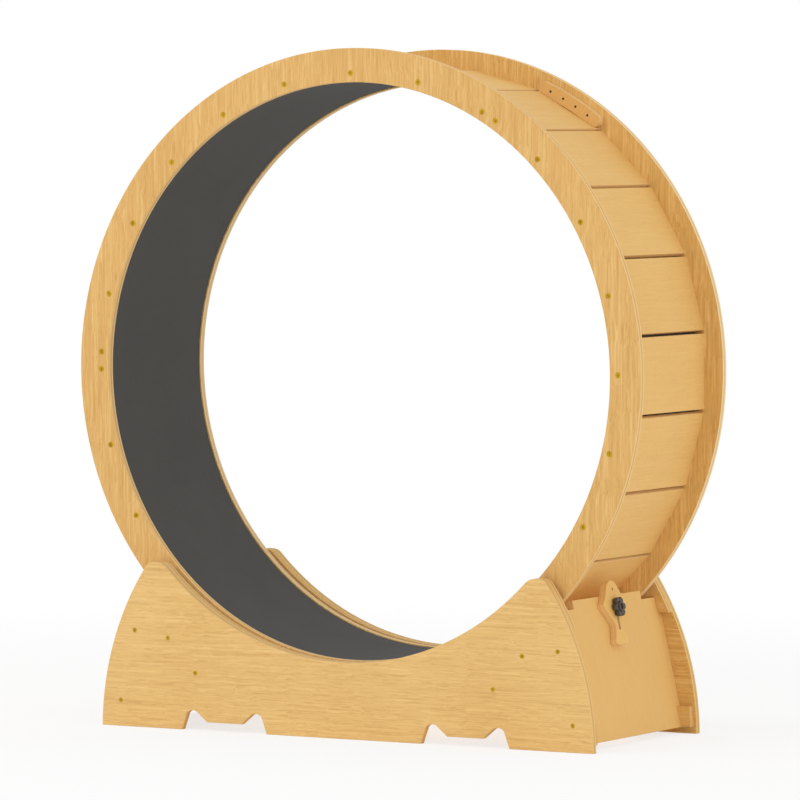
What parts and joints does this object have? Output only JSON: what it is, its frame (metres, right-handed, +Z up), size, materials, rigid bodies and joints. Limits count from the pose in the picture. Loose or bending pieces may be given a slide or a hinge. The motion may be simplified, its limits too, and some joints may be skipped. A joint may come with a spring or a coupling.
{
  "type": "pet exercise wheel",
  "caption": "Upright wooden running wheel: a slatted drum with a soft mat turns on four grooved rollers in a low cradle base, with a sliding brake on one end",
  "frame": {"origin": "on the floor, under the middle of the wheel's axle line, halfway between the two side panels", "axes": "+Z up from the floor, +Y along the wheel's axle from the front side panel to the rear one, +X along the base towards the end with the brake slide"},
  "size_m": [1, 0.357, 1.066],
  "materials": {
    "ring_wood": "satin",
    "slat_wood": "satin",
    "base_wood": "satin",
    "ply_wood": "satin",
    "mat": "matte",
    "screw_brass": "satin",
    "screw_black": "satin",
    "steel": "satin",
    "roller_plastic": "matte",
    "knob_plastic": "matte"
  },
  "bodies": {
    "base": {"front_side_panel": "base_wood", "rear_side_panel": "base_wood", "left_end_panel": "base_wood", "right_end_panel": "base_wood", "left_roller_board": "base_wood", "right_roller_board": "base_wood", "tip_blocks": "ply_wood", "foot_blocks": "ply_wood", "front_left_bracket": "steel", "front_right_bracket": "steel", "rear_left_bracket": "steel", "rear_right_bracket": "steel", "bracket_screws": "steel", "axle_bolts": "steel", "panel_screws": "screw_brass", "block_screws": "screw_brass", "lock_bolt": "steel", "lock_washer": "steel"},
    "wheel": {"front_ring_1": "ring_wood", "front_ring_2": "ring_wood", "front_ring_3": "ring_wood", "rear_ring_1": "ring_wood", "rear_ring_2": "ring_wood", "rear_ring_3": "ring_wood", "slat_01": "slat_wood", "slat_02": "slat_wood", "slat_03": "slat_wood", "slat_04": "slat_wood", "slat_05": "slat_wood", "slat_06": "slat_wood", "slat_07": "slat_wood", "slat_08": "slat_wood", "slat_09": "slat_wood", "slat_10": "slat_wood", "slat_11": "slat_wood", "slat_12": "slat_wood", "slat_13": "slat_wood", "slat_14": "slat_wood", "slat_15": "slat_wood", "slat_16": "slat_wood", "slat_17": "slat_wood", "slat_18": "slat_wood", "slat_19": "slat_wood", "slat_20": "slat_wood", "slat_21": "slat_wood", "slat_22": "slat_wood", "slat_23": "slat_wood", "slat_24": "slat_wood", "running_mat": "mat", "front_splice_plates": "ply_wood", "rear_splice_plates": "ply_wood", "slat_screws": "screw_brass", "splice_screws": "screw_black"},
    "front_left_roller": {"front_left_roller": "roller_plastic"},
    "front_right_roller": {"front_right_roller": "roller_plastic"},
    "rear_left_roller": {"rear_left_roller": "roller_plastic"},
    "rear_right_roller": {"rear_right_roller": "roller_plastic"},
    "lock": {"lock_slide": "ply_wood"},
    "knob": {"lock_knob": "knob_plastic"}
  },
  "joints": [
    {"name": "wheel_turn", "type": "hinge", "parent": "base", "child": "wheel", "pos_m": [0, 0, 0.566], "axis": [0, 1, 0], "continuous": true},
    {"name": "front_left_roller_turn", "type": "hinge", "parent": "base", "child": "front_left_roller", "pos_m": [-0.27956, -0.1375, 0.12718], "axis": [0, 1, 0], "continuous": true},
    {"name": "front_right_roller_turn", "type": "hinge", "parent": "base", "child": "front_right_roller", "pos_m": [0.27956, -0.1375, 0.12718], "axis": [0, 1, 0], "continuous": true},
    {"name": "rear_left_roller_turn", "type": "hinge", "parent": "base", "child": "rear_left_roller", "pos_m": [-0.27956, 0.1375, 0.12718], "axis": [0, 1, 0], "continuous": true},
    {"name": "rear_right_roller_turn", "type": "hinge", "parent": "base", "child": "rear_right_roller", "pos_m": [0.27956, 0.1375, 0.12718], "axis": [0, 1, 0], "continuous": true},
    {"name": "lock_travel", "type": "slide", "parent": "base", "child": "lock", "axis": [-0.2284, 0, 0.9736], "range_m": [0, 0.0135]},
    {"name": "knob_turn", "type": "hinge", "parent": "base", "child": "knob", "pos_m": [0.38918, 0, 0.20854], "axis": [0.9736, 0, 0.2284], "range_deg": [0, 360]}
  ],
  "couplings": [
    {"joint": "front_left_roller_turn", "follows": "wheel_turn", "ratio": -25},
    {"joint": "front_right_roller_turn", "follows": "wheel_turn", "ratio": -25},
    {"joint": "rear_left_roller_turn", "follows": "wheel_turn", "ratio": -25},
    {"joint": "rear_right_roller_turn", "follows": "wheel_turn", "ratio": -25}
  ]
}
